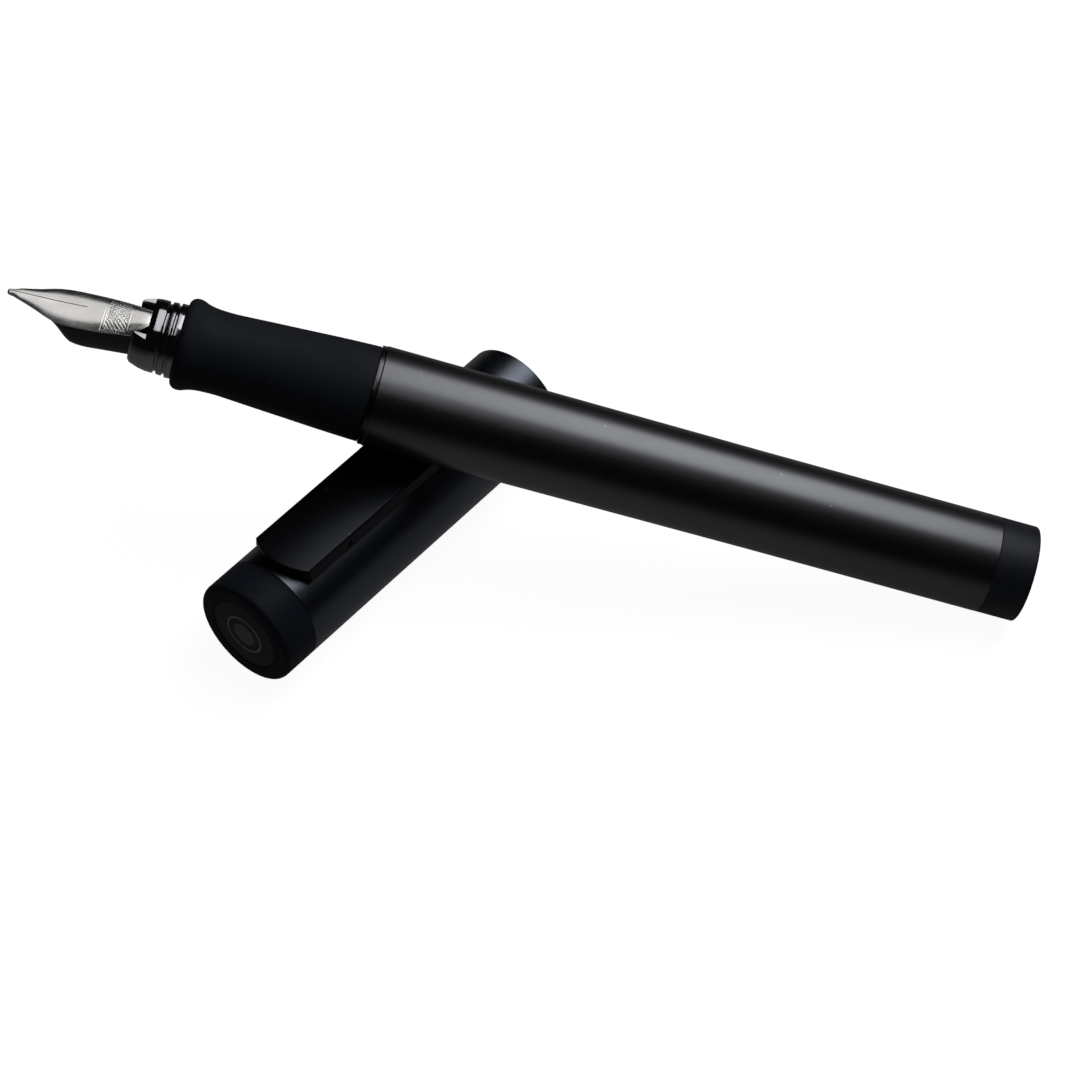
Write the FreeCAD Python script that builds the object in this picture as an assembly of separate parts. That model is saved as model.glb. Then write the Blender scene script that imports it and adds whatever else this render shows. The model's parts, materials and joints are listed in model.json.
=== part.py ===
import FreeCAD, Part
import math
import os

# A cartridge and converter fountain pen, uncapped, lying across its own cap.
#
# Frame: millimetres, +Z up.  The origin is the centre of the cap's mouth.  The cap lies along X with its
# mouth facing +X and its clip on top.  The pen rests on the clip and on the rim of its tail plug.
#
# Cap pieces are built straight in that frame.  Pen pieces are built along their own X axis, with X = 0 at
# the barrel's mouth, the tail towards +X and the nib's upper face towards +Z.  They are then laid in place.

V = FreeCAD.Vector
X_AXIS = V(1, 0, 0)
Y_AXIS = V(0, 1, 0)
Z_AXIS = V(0, 0, 1)

# --- fits -------------------------------------------------------------------------------------------
FIXED_GAP = 0.02          # radial gap of pieces that are glued or pressed together
RUNNING_GAP = 0.05        # radial gap of pieces that turn or slide on each other

# --- cap --------------------------------------------------------------------------------------------
CAP_LENGTH = 51.7         # finial's end to mouth
CAP_R = 7.12
MOUTH_BORE_R = 6.42       # the wide bore that the pen's section enters
MOUTH_DEPTH = 27.3
CAP_BORE_R = 6.20         # the narrower bore behind it, which holds the liner
FINIAL_LENGTH = 5.15
FINIAL_SPIGOT = 6.5
FINIAL_DISC_R = 4.9
FINIAL_DISC_DEPTH = 0.8
LINER_R = 5.74
LINER_BORE_R = 5.0
LINER_FRONT = -27.8       # the liner's open end, just behind the wide bore
LINER_FLANGE = 6.4

# --- clip -------------------------------------------------------------------------------------------
CLIP_LENGTH = 37.1
CLIP_START = -45.9        # its end beside the finial
CLIP_EDGE_Y = 4.57        # half width at the lower edges
CLIP_EDGE_Z = 6.62
CLIP_SHOULDER_Y = 4.28
CLIP_SHOULDER_Z = 8.22
CLIP_CROWN_Z = 8.75
CLIP_PLATE = 0.70
CLIP_SKIRT = 0.65
CLIP_END_CURVE = 1.9      # set-back of that end's corners
CLIP_END_WALL = 2.0       # solid end beside the finial
CLIP_END_LIFT = 7.83      # height of the end wall's lower edge over the cap's crown
CLIP_FOOT_R = 1.2
PIN_X = -37.1
PIN_Z = 7.20
PIN_R = 0.40
PIN_HALF_LENGTH = 4.36
LUG_HALF_WIDTH = 1.2
LUG_TOP_R = 0.65
WINDOW_LENGTH = 5.0       # slot in the cap tube for the clip's lug and spring
WINDOW_HALF_WIDTH = 2.6
SADDLE_ANGLE = 60.0
SPRING_WIRE_R = 0.10
SPRING_PITCH = 0.26
SPRING_TURNS = 3.5
SPRING_LEG = 2.1

# --- barrel -----------------------------------------------------------------------------------------
BARREL_LENGTH = 78.5
BARREL_FRONT_R = 6.27
BARREL_TAIL_R = 6.07
POSTING_LENGTH = 30.0     # parallel land at the tail that takes the cap when it is posted
BARREL_BORE_R = 5.45
SLEEVE_START = 1.0
SLEEVE_LENGTH = 11.0
THREAD_R = 4.25           # pitch radius of the section's thread, drawn plain
PLUG_LENGTH = 5.3
PLUG_R = 6.05
PLUG_SPIGOT = 8.0
PLUG_RIM = 0.8            # length of the plug's rounded edge and dome
PLUG_DOME_R = 35.0
PLUG_FACE_R = 5.45        # the dome's own radius across

# --- section: everything in front of the barrel's mouth ------------------------------------------------
RING_WIDTH = 0.60
RING_R = 6.19
GRIP_FRONT = -24.5
CORE_R = 4.40
CORE_BORE_R = 3.50
BOSS_END = 8.6
COLLAR_FRONT = -30.1
COLLAR_TOP_FRONT = -28.4  # the collar is set back here over the nib
COLLAR_SHANK_END = -14.6
COLLAR_BORE_R = 2.93
NIB_TIP = -46.0
NIB_END = -20.0
NIB_SHEET = 0.28
SLIT_END = -36.2
SLIT_WIDTH = 0.10
FEED_R = 2.90
FEED_END = -15.6
NIPPLE_R = 1.60
NIPPLE_END = -8.2
INK_CHANNEL_R = 0.5

# --- converter --------------------------------------------------------------------------------------
CONVERTER_FRONT = -12.5
CONVERTER_R = 3.40
CONVERTER_BORE_R = 2.85
NECK_END = -7.5
TUBE_END = 33.2
TUBE_TENON = 3.0
BAND_END = 40.2
BAND_BOSS_R = 1.95
BAND_BOSS = 2.8
KNOB_END = 62.4
KNOB_R = 3.20
ROD_R = 1.20
ROD_END = 45.4
PISTON_FRONT = -7.2
PISTON_LENGTH = 5.0

# --- how the pen lies -------------------------------------------------------------------------------
PEN_YAW = -59.5           # plan angle of the nib-to-tail direction, from the cap's +X
PEN_TILT = 12.39          # the tail is this much lower than the nib
PEN_CROSS_X = -21.2       # the pen passes over the cap's centre line here
PEN_CROSS_S = 4.0         # and this far behind the barrel's mouth
FLOOR_GAP = 0.02


# --- helpers ----------------------------------------------------------------------------------------
def outline(points, place):
    """Closed wire.  A point is (a, b); a pair of points is an arc through the first to the second."""
    edges = []
    here = points[0]
    for step in points[1:]:
        if isinstance(step[0], tuple):
            through, end = step
            edges.append(Part.Arc(place(here), place(through), place(end)).toShape())
        else:
            end = step
            edges.append(Part.makeLine(place(here), place(end)))
        here = end
    if here != points[0]:
        edges.append(Part.makeLine(place(here), place(points[0])))
    return Part.Wire(edges)


def turned(points):
    """Solid of revolution about X from an (x, radius) outline."""
    face = Part.Face(outline(points, lambda p: V(p[0], 0, p[1])))
    return face.revolve(V(0, 0, 0), X_AXIS, 360)


def pipe(start, end, outer, inner):
    return turned([(start, inner), (end, inner), (end, outer), (start, outer)])


def side_plate(points, half_width):
    """Slab from an (x, z) outline, spread evenly to both sides of Y = 0."""
    face = Part.Face(outline(points, lambda p: V(p[0], -half_width, p[1])))
    return face.extrude(V(0, 2 * half_width, 0))


def plan_plate(points, low, high):
    """Slab from an (x, y) outline between two heights."""
    face = Part.Face(outline(points, lambda p: V(p[0], p[1], low)))
    return face.extrude(V(0, 0, high - low))


def channel(points, start, end):
    """Bar along X from a (y, z) outline."""
    face = Part.Face(outline(points, lambda p: V(start, p[0], p[1])))
    return face.extrude(V(end - start, 0, 0))


def box(x_range, y_range, z_range):
    size = [high - low for low, high in (x_range, y_range, z_range)]
    return Part.makeBox(*size, V(x_range[0], y_range[0], z_range[0]))


def cross_bar(x, z, radius, half_length):
    return Part.makeCylinder(radius, 2 * half_length, V(x, -half_length, z), Y_AXIS)


# --- cap --------------------------------------------------------------------------------------------
SEAM_X = FINIAL_LENGTH - CAP_LENGTH
SPIGOT_END = SEAM_X + FINIAL_SPIGOT
WINDOW = (PIN_X - WINDOW_LENGTH / 2, PIN_X + WINDOW_LENGTH / 2)


def cap_tube():
    lip = 0.15
    tube = turned([
        (SEAM_X + FIXED_GAP, CAP_BORE_R),
        (-MOUTH_DEPTH, CAP_BORE_R),
        (-MOUTH_DEPTH, MOUTH_BORE_R),
        (0, MOUTH_BORE_R),
        (0, CAP_R - lip),
        (-lip, CAP_R),
        (SEAM_X + FIXED_GAP, CAP_R),
    ])
    window = box(WINDOW, (-WINDOW_HALF_WIDTH, WINDOW_HALF_WIDTH), (0, CAP_R + 1))
    return tube.cut(window)


def cap_finial():
    end = -CAP_LENGTH
    edge = 0.45
    return turned([
        (SPIGOT_END, LINER_R + FIXED_GAP),
        (SPIGOT_END, CAP_BORE_R - FIXED_GAP),
        (SEAM_X, CAP_BORE_R - FIXED_GAP),
        (SEAM_X, CAP_R),
        (end + 0.7, CAP_R),
        ((end + 0.33, CAP_R - 0.15), (end + 0.2, CAP_R - edge)),
        (end, FINIAL_DISC_R + 0.12),
        (end + 0.1, FINIAL_DISC_R),
        (end + FINIAL_DISC_DEPTH, FINIAL_DISC_R),
        (end + FINIAL_DISC_DEPTH, 0),
        (end + 1.9, 0),
        (end + 1.9, LINER_R + FIXED_GAP),
    ])


def finial_disc():
    end = -CAP_LENGTH
    radius = FINIAL_DISC_R - FIXED_GAP
    return turned([
        (end + FINIAL_DISC_DEPTH - FIXED_GAP, 0),
        (end + 0.05, 0),
        (end + 0.05, radius - 0.1),
        (end + 0.15, radius),
        (end + FINIAL_DISC_DEPTH - FIXED_GAP, radius),
    ])


def inner_cap():
    closed = -CAP_LENGTH + 1.95
    flange_start = LINER_FRONT - LINER_FLANGE
    return turned([
        (closed, 0),
        (closed + 0.8, 0),
        (closed + 0.8, LINER_BORE_R),
        (LINER_FRONT - 0.5, LINER_BORE_R),
        (LINER_FRONT, LINER_BORE_R + 0.5),
        (LINER_FRONT, CAP_BORE_R - FIXED_GAP),
        (flange_start, CAP_BORE_R - FIXED_GAP),
        (flange_start, LINER_R),
        (closed, LINER_R),
    ])


# --- clip -------------------------------------------------------------------------------------------
def clip_section(start, end):
    """Pressed channel: slightly crowned on top, with a skirt down each side."""
    half = CLIP_EDGE_Y
    shoulder = CLIP_SHOULDER_Y
    inner_y = shoulder - CLIP_SKIRT
    inner_z = CLIP_SHOULDER_Z - CLIP_PLATE + 0.1
    return channel([
        (-half, CLIP_EDGE_Z),
        (-shoulder, CLIP_SHOULDER_Z),
        ((0, CLIP_CROWN_Z), (shoulder, CLIP_SHOULDER_Z)),
        (half, CLIP_EDGE_Z),
        (half - CLIP_SKIRT, CLIP_EDGE_Z),
        (inner_y, inner_z),
        ((0, CLIP_CROWN_Z - CLIP_PLATE), (-inner_y, inner_z)),
        (CLIP_SKIRT - half, CLIP_EDGE_Z),
    ], start, end)


def clip():
    start = CLIP_START
    end = CLIP_START + CLIP_LENGTH
    corner = start + CLIP_END_CURVE
    wide = CLIP_EDGE_Y + 0.1
    end_wall = channel([
        (-CLIP_EDGE_Y, CLIP_EDGE_Z),
        (-CLIP_SHOULDER_Y, CLIP_SHOULDER_Z),
        ((0, CLIP_CROWN_Z), (CLIP_SHOULDER_Y, CLIP_SHOULDER_Z)),
        (CLIP_EDGE_Y, CLIP_EDGE_Z),
        ((0, CLIP_END_LIFT), (-CLIP_EDGE_Y, CLIP_EDGE_Z)),
    ], start, start + CLIP_END_WALL)
    foot_x = end - 2.6
    foot_low = CAP_R + 0.03
    foot_height = CLIP_CROWN_Z - CLIP_PLATE / 2 - foot_low
    foot = Part.makeCylinder(CLIP_FOOT_R, foot_height, V(foot_x, 0, foot_low), Z_AXIS)
    footprint = plan_plate([
        (corner, -wide),
        (end - 3.4, -wide),
        ((end, 0), (end - 3.4, wide)),
        (corner, wide),
        ((start, 0), (corner, -wide)),
    ], 0, CLIP_CROWN_Z + 1)
    pin_hole = cross_bar(PIN_X, PIN_Z, PIN_R + RUNNING_GAP, wide)
    body = clip_section(start, end).fuse([end_wall, foot]).common(footprint)
    return body.cut(pin_hole).removeSplitter()


def clip_bracket():
    """Saddle under the cap's wall, with a lug that stands up through the window and carries the pin."""
    inner = LINER_R + 0.04
    outer = CAP_BORE_R - FIXED_GAP
    start, end = WINDOW
    face = Part.Face(outline([(start, inner), (end, inner), (end, outer), (start, outer)],
                             lambda p: V(p[0], 0, p[1])))
    face.rotate(V(0, 0, 0), X_AXIS, -SADDLE_ANGLE / 2)
    saddle = face.revolve(V(0, 0, 0), X_AXIS, SADDLE_ANGLE)
    root = inner + 0.2
    lug = side_plate([
        (PIN_X - 1.5, root),
        (PIN_X + 1.5, root),
        (PIN_X + LUG_TOP_R, PIN_Z),
        ((PIN_X, PIN_Z + LUG_TOP_R), (PIN_X - LUG_TOP_R, PIN_Z)),
    ], LUG_HALF_WIDTH)
    hole = cross_bar(PIN_X, PIN_Z, PIN_R + FIXED_GAP / 2, LUG_HALF_WIDTH + 1)
    return saddle.fuse(lug).cut(hole).removeSplitter()


def clip_pin():
    return cross_bar(PIN_X, PIN_Z, PIN_R, PIN_HALF_LENGTH)


def clip_spring():
    """Torsion spring on the pin, one leg on the saddle and one under the clip's short end."""
    radius = PIN_R + RUNNING_GAP + SPRING_WIRE_R
    height = SPRING_TURNS * SPRING_PITCH
    helix = Part.makeHelix(SPRING_PITCH, height, radius)
    profile = Part.Wire(Part.makeCircle(SPRING_WIRE_R, V(radius, 0, 0), Y_AXIS))
    coil = Part.Wire(helix).makePipeShell([profile], True, True)
    coil.rotate(V(0, 0, 0), X_AXIS, -90)
    coil.rotate(V(0, 0, 0), Y_AXIS, -90)
    first_y = LUG_HALF_WIDTH + 0.12
    coil.translate(V(PIN_X, first_y, PIN_Z))
    low = V(PIN_X, first_y + height, PIN_Z - radius)
    high = V(PIN_X, first_y, PIN_Z + radius)
    overlap = V(0.12, 0, 0)
    drop = 0.45
    low_leg = Part.makeCylinder(SPRING_WIRE_R, SPRING_LEG, low + overlap, V(-SPRING_LEG, 0, -drop))
    high_leg = Part.makeCylinder(SPRING_WIRE_R, SPRING_LEG, high + overlap, V(-1, 0, 0))
    return coil.fuse([low_leg, high_leg])


# --- barrel -----------------------------------------------------------------------------------------
def barrel_tube():
    bevel = 0.25
    return turned([
        (0, BARREL_BORE_R),
        (BARREL_LENGTH, BARREL_BORE_R),
        (BARREL_LENGTH, BARREL_TAIL_R),
        (BARREL_LENGTH - POSTING_LENGTH, BARREL_TAIL_R),
        (bevel, BARREL_FRONT_R),
        (0, BARREL_FRONT_R - bevel),
    ])


def thread_sleeve():
    outer = BARREL_BORE_R - FIXED_GAP
    return pipe(SLEEVE_START, SLEEVE_START + SLEEVE_LENGTH, outer, THREAD_R + RUNNING_GAP)


def end_plug():
    start = BARREL_LENGTH + FIXED_GAP
    end = BARREL_LENGTH + PLUG_LENGTH
    rim = end - PLUG_RIM
    spigot = BARREL_BORE_R - FIXED_GAP
    hollow = 4.3
    dome_angle = math.asin(PLUG_FACE_R / PLUG_DOME_R)

    def on_dome(angle):
        return (end - PLUG_DOME_R + PLUG_DOME_R * math.cos(angle), PLUG_DOME_R * math.sin(angle))

    return turned([
        (BARREL_LENGTH - PLUG_SPIGOT, hollow),
        (BARREL_LENGTH - PLUG_SPIGOT, spigot),
        (start, spigot),
        (start, PLUG_R),
        (rim, PLUG_R),
        ((rim + 0.27, 5.85), on_dome(dome_angle)),
        (on_dome(dome_angle / 2), (end, 0)),
        (end - 2.2, 0),
        (end - 2.2, hollow),
    ])


# --- section ----------------------------------------------------------------------------------------
def seam_ring():
    inner = THREAD_R + 0.08
    edge = 0.12
    return turned([
        (-RING_WIDTH, inner),
        (-FIXED_GAP, inner),
        (-FIXED_GAP, RING_R - edge),
        (-FIXED_GAP - edge, RING_R),
        (-RING_WIDTH + edge, RING_R),
        (-RING_WIDTH, RING_R - edge),
    ])


def section_core():
    """Tube under the grip, with a threaded boss behind it that screws into the barrel."""
    shoulder = -RING_WIDTH - FIXED_GAP
    flange_r = 5.2
    return turned([
        (GRIP_FRONT, CORE_BORE_R),
        (BOSS_END, CORE_BORE_R),
        (BOSS_END, THREAD_R - 0.2),
        (BOSS_END - 0.2, THREAD_R),
        (shoulder, THREAD_R),
        (shoulder, flange_r),
        (shoulder - 1.0, flange_r),
        (shoulder - 1.0, CORE_R),
        (GRIP_FRONT, CORE_R),
    ])


def grip_sleeve():
    """Soft sleeve with a bead at the front, a waist and a slow swell towards the barrel."""
    rear = -RING_WIDTH - 0.06
    inner = CORE_R + FIXED_GAP
    core_flange = -RING_WIDTH - FIXED_GAP - 1.0 - FIXED_GAP
    return turned([
        (GRIP_FRONT, inner),
        (GRIP_FRONT, 4.75),
        ((GRIP_FRONT + 0.2, 5.35), (GRIP_FRONT + 0.8, 5.68)),
        ((GRIP_FRONT + 1.5, 5.68), (GRIP_FRONT + 2.2, 5.42)),
        ((GRIP_FRONT + 3.6, 5.14), (GRIP_FRONT + 5.6, 5.08)),
        ((GRIP_FRONT + 14.5, 5.56), (rear - 0.3, 5.97)),
        (rear, 5.85),
        (rear, 5.2 + FIXED_GAP),
        (core_flange, 5.2 + FIXED_GAP),
        (core_flange, inner),
    ])


def nib_stations(drop):
    """Cross-sections of the nib: x, half width, crest height, edge height, lowered by drop."""
    shape = [
        (NIB_TIP, 0.28, 0.98, 0.95),
        (-44.5, 0.90, 1.10, 0.90),
        (-42.0, 1.75, 1.24, 0.80),
        (-39.6, 2.68, 1.40, 0.78),
        (-37.2, 2.90, 1.62, 0.96),
        (-34.7, 2.85, 1.94, 1.20),
        (-31.5, 2.60, 2.45, 1.55),
        (COLLAR_TOP_FRONT, 2.28, FEED_R, 1.79),
        (NIB_END, 2.28, FEED_R, 1.79),
    ]
    return [(x, w, crest - drop, edge - drop) for x, w, crest, edge in shape]


def crescent(station, thickness):
    """Closed wire across the nib: two parallel arcs joined at the sides."""
    x, w, crest, edge = station
    low_edge = edge - thickness
    low_crest = crest - thickness
    return outline([
        (-w, low_edge),
        (-w, edge),
        ((0, crest), (w, edge)),
        (w, low_edge),
        ((0, low_crest), (-w, low_edge)),
    ], lambda p: V(x, p[0], p[1]))


def nib():
    sheet = Part.makeLoft([crescent(s, NIB_SHEET) for s in nib_stations(0)], True, True)
    slit = box((NIB_TIP - 1, SLIT_END), (-SLIT_WIDTH / 2, SLIT_WIDTH / 2), (-5, 5))
    return sheet.cut(slit)


def feed():
    """Ink feed: a keel under the nib, a round body in the collar and a nipple into the converter."""
    side = side_plate([
        (-42.4, 2.4),
        (-42.4, 0.55),
        ((-39.6, -1.5), (-37.9, -3.5)),
        ((-37.2, -4.05), (-36.0, -4.2)),
        (-29.0, -3.2),
        (-29.0, 2.4),
    ], 3)
    across = channel([
        (-2.3, -1.9),
        (-2.3, 2.4),
        (2.3, 2.4),
        (2.3, -1.9),
        ((0, -4.2), (-2.3, -1.9)),
    ], -43, -29)
    plan = plan_plate([
        (-42.5, -0.8),
        ((-40.4, -1.7), (-37.5, -2.3)),
        (-29.0, -2.3),
        (-29.0, 2.3),
        (-37.5, 2.3),
        ((-40.4, 1.7), (-42.5, 0.8)),
    ], -6, 4)
    keel = side.common(across).common(plan)
    neck = box((COLLAR_FRONT - 0.1, -28), (-4, 4), (-6, 6))
    keel = keel.cut(neck)
    body = Part.makeCylinder(FEED_R, FEED_END - COLLAR_FRONT + 0.1, V(COLLAR_FRONT - 0.1, 0, 0), X_AXIS)
    nipple = Part.makeCylinder(NIPPLE_R, NIPPLE_END - FEED_END, V(FEED_END, 0, 0), X_AXIS)
    channel_bore = Part.makeCylinder(INK_CHANNEL_R, NIPPLE_END + 22, V(-22, 0, 0), X_AXIS)
    over = [crescent(s, -6) for s in nib_stations(NIB_SHEET + FIXED_GAP)]
    space = Part.makeLoft(over, True, True)
    return body.fuse([keel, nipple]).cut(space).cut(channel_bore)


def nib_collar():
    """Glossy collar: three rings in front of the grip, a cheek each side of the nib, and a pressed shank."""
    shank = CORE_BORE_R - FIXED_GAP
    bore = COLLAR_BORE_R
    front = COLLAR_FRONT
    rear = GRIP_FRONT - FIXED_GAP
    ring = turned([
        (front, bore),
        (COLLAR_SHANK_END, bore),
        (COLLAR_SHANK_END, shank),
        (rear, shank),
        (rear, 4.62),
        (rear - 0.75, 4.66),
        (rear - 0.85, 4.30),
        (rear - 1.05, 4.30),
        (rear - 1.15, 4.56),
        (rear - 1.80, 4.50),
        (rear - 1.90, 4.22),
        (rear - 2.15, 4.22),
        (rear - 2.25, 4.50),
        ((rear - 4.1, 4.34), (front + 0.25, 3.9)),
        (front, 3.65),
    ])
    nib_slot = box((front - 1, COLLAR_TOP_FRONT), (-2.65, 2.65), (0, 6))
    open_top = box((front - 1, COLLAR_TOP_FRONT), (-6, 6), (2.7, 6))
    return ring.cut(nib_slot).cut(open_top)


# --- converter --------------------------------------------------------------------------------------
def converter_tube():
    return turned([
        (CONVERTER_FRONT, NIPPLE_R + FIXED_GAP),
        (NECK_END, NIPPLE_R + FIXED_GAP),
        (NECK_END, CONVERTER_BORE_R),
        (TUBE_END + TUBE_TENON, CONVERTER_BORE_R),
        (TUBE_END + TUBE_TENON, CONVERTER_R - 0.28),
        (TUBE_END, CONVERTER_R - 0.28),
        (TUBE_END, CONVERTER_R),
        (CONVERTER_FRONT + 0.4, CONVERTER_R),
        (CONVERTER_FRONT, CONVERTER_R - 0.4),
    ])


def converter_band():
    """Metal band on the tube's rear end.  Its web guides the rod, and its boss carries the knob."""
    rod_hole = ROD_R + RUNNING_GAP
    tenon = CONVERTER_R - 0.26
    web = TUBE_END + TUBE_TENON + 0.05
    return turned([
        (TUBE_END + FIXED_GAP, tenon),
        (web, tenon),
        (web, rod_hole),
        (BAND_END + BAND_BOSS, rod_hole),
        (BAND_END + BAND_BOSS, BAND_BOSS_R),
        (BAND_END, BAND_BOSS_R),
        (BAND_END, CONVERTER_R),
        (TUBE_END + FIXED_GAP, CONVERTER_R),
    ])


def converter_knob():
    start = BAND_END + 0.15
    socket = BAND_END + BAND_BOSS + 0.15
    bore = ROD_R + RUNNING_GAP
    flutes = 24
    body = turned([
        (start, BAND_BOSS_R + RUNNING_GAP),
        (socket, BAND_BOSS_R + RUNNING_GAP),
        (socket, bore),
        (KNOB_END - 0.9, bore),
        (KNOB_END - 0.9, 0),
        (KNOB_END, 0),
        (KNOB_END, KNOB_R - 0.5),
        (KNOB_END - 0.5, KNOB_R),
        (start, KNOB_R),
    ])
    groove_length = 12.0
    grooves = []
    for i in range(flutes):
        angle = 2 * math.pi * i / flutes
        centre = V(start + 1.5, (KNOB_R + 0.05) * math.cos(angle), (KNOB_R + 0.05) * math.sin(angle))
        grooves.append(Part.makeCylinder(0.22, groove_length, centre, X_AXIS))
    return body.cut(grooves)


def piston_rod():
    start = PISTON_FRONT + 1.5
    return Part.makeCylinder(ROD_R, ROD_END - start, V(start, 0, 0), X_AXIS)


def piston_head():
    """Piston with two sealing lips, on the front of the rod."""
    front = PISTON_FRONT
    rear = PISTON_FRONT + PISTON_LENGTH
    lip = CONVERTER_BORE_R - RUNNING_GAP
    waist = lip - 0.45
    socket = front + 1.5 - FIXED_GAP
    return turned([
        (front, 0),
        (front, lip - 0.5),
        (front + 0.4, lip),
        (front + 1.2, lip),
        (front + 1.6, waist),
        (rear - 1.4, waist),
        (rear - 1.0, lip),
        (rear, lip),
        (rear, ROD_R + FIXED_GAP),
        (socket, ROD_R + FIXED_GAP),
        (socket, 0),
    ])


# --- laying the pen across the cap --------------------------------------------------------------------
def pen_placement():
    """The plug's rim touches the floor, and the barrel passes over the cap at the chosen place."""
    yaw = math.radians(PEN_YAW)
    tilt = math.radians(PEN_TILT)
    plan_step = PEN_CROSS_S * math.cos(tilt)
    rim_x = BARREL_LENGTH + PLUG_LENGTH - PLUG_RIM
    floor = -CAP_R + FLOOR_GAP
    height = floor + rim_x * math.sin(tilt) + PLUG_R * math.cos(tilt)
    mouth = V(PEN_CROSS_X - plan_step * math.cos(yaw), -plan_step * math.sin(yaw), height)
    turn = FreeCAD.Rotation(Z_AXIS, PEN_YAW).multiply(FreeCAD.Rotation(Y_AXIS, PEN_TILT))
    return FreeCAD.Placement(mouth, turn)


CAP_PIECES = {
    "cap_tube": cap_tube,
    "cap_finial": cap_finial,
    "finial_disc": finial_disc,
    "inner_cap": inner_cap,
    "clip": clip,
    "clip_bracket": clip_bracket,
    "clip_pin": clip_pin,
    "clip_spring": clip_spring,
}

PEN_PIECES = {
    "barrel_tube": barrel_tube,
    "thread_sleeve": thread_sleeve,
    "end_plug": end_plug,
    "seam_ring": seam_ring,
    "section_core": section_core,
    "grip_sleeve": grip_sleeve,
    "nib": nib,
    "feed": feed,
    "nib_collar": nib_collar,
    "converter_tube": converter_tube,
    "converter_band": converter_band,
    "converter_knob": converter_knob,
    "piston_rod": piston_rod,
    "piston_head": piston_head,
}


def write_piece(name, shape, place):
    """Each piece is exactly one solid."""
    (solid,) = shape.Solids
    solid.Placement = place.multiply(solid.Placement)
    solid.exportStep("parts/" + name + ".step")


def write_parts():
    os.makedirs("parts", exist_ok=True)
    for name, make in CAP_PIECES.items():
        write_piece(name, make(), FreeCAD.Placement())
    lay = pen_placement()
    for name, make in PEN_PIECES.items():
        write_piece(name, make(), lay)


write_parts()
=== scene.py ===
"""Looks of an uncapped fountain pen that lies across its own cap.

Pieces are built in millimetres in one of two local frames, then placed in metres.
  CAP: the record's own frame, the cap along X with its mouth at X = 0 and its clip on top.
  PEN: X along the pen from nib to tail, 0 at the barrel's mouth, Z towards the nib's upper face.
"""
import json
import math

import bmesh
import bpy
from mathutils import Matrix, Vector


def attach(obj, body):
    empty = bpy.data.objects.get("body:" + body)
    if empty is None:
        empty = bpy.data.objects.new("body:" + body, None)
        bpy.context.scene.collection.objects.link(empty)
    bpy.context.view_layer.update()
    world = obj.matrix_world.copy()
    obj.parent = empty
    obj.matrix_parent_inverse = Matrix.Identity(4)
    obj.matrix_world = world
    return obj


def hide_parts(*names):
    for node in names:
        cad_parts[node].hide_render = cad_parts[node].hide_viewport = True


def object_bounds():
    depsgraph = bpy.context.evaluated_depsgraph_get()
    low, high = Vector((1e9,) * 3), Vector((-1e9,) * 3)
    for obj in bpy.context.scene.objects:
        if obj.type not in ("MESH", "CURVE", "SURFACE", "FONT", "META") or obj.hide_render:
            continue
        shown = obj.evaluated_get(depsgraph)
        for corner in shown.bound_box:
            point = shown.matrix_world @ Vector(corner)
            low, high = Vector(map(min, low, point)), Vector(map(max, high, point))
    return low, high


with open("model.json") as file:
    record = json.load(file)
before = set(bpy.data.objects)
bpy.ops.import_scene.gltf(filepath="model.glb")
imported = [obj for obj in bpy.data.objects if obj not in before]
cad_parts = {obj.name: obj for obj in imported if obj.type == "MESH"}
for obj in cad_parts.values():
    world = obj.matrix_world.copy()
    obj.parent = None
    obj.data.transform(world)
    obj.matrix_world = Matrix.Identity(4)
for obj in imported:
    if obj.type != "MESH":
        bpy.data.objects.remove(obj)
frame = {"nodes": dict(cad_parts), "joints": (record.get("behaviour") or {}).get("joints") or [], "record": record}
cad_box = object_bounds()

MM = 0.001
JOINTS = {j["name"]: j for j in frame["joints"]}
MOUNTS = {m["name"]: m for m in frame["record"]["mounts"]}


# --- frames and sizes taken from the CAD --------------------------------------------------------------
def pen_frame():
    along = Vector(MOUNTS["barrel_tail"]["axis"]).normalized()
    up = (Vector((0, 0, 1)) - along * along.z).normalized()
    turn = Matrix((along, up.cross(along), up)).transposed().to_4x4()
    return Matrix.Translation(Vector(JOINTS["section_turn"]["pos_m"])) @ turn


CAP = Matrix.Identity(4)
PEN = pen_frame()
HINGE = Vector(JOINTS["clip_open"]["pos_m"]) / MM


def reach(node, place):
    """(lowest x, highest x, largest radius) of a CAD node in a local frame, in millimetres."""
    back = place.inverted()
    points = [(back @ v.co) / MM for v in frame["nodes"][node].data.vertices]
    radius = max(math.hypot(p.y, p.z) for p in points)
    return min(p.x for p in points), max(p.x for p in points), radius


# --- mesh tools ---------------------------------------------------------------------------------------
def make_mesh(name, shape, place, weld=0.0):
    """Mesh from (vertices, faces) in local millimetres.  add_piece later gives a finished mesh a 'local' attribute
    that keeps those coordinates.
    """
    verts, faces = shape
    mesh = bpy.data.meshes.new(name)
    mesh.from_pydata([place @ (Vector(v) * MM) for v in verts], [], faces)
    bm = bmesh.new()
    bm.from_mesh(mesh)
    if weld:
        bmesh.ops.remove_doubles(bm, verts=bm.verts, dist=weld * MM)
    bmesh.ops.recalc_face_normals(bm, faces=bm.faces)
    bm.to_mesh(mesh)
    bm.free()
    return mesh


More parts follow.
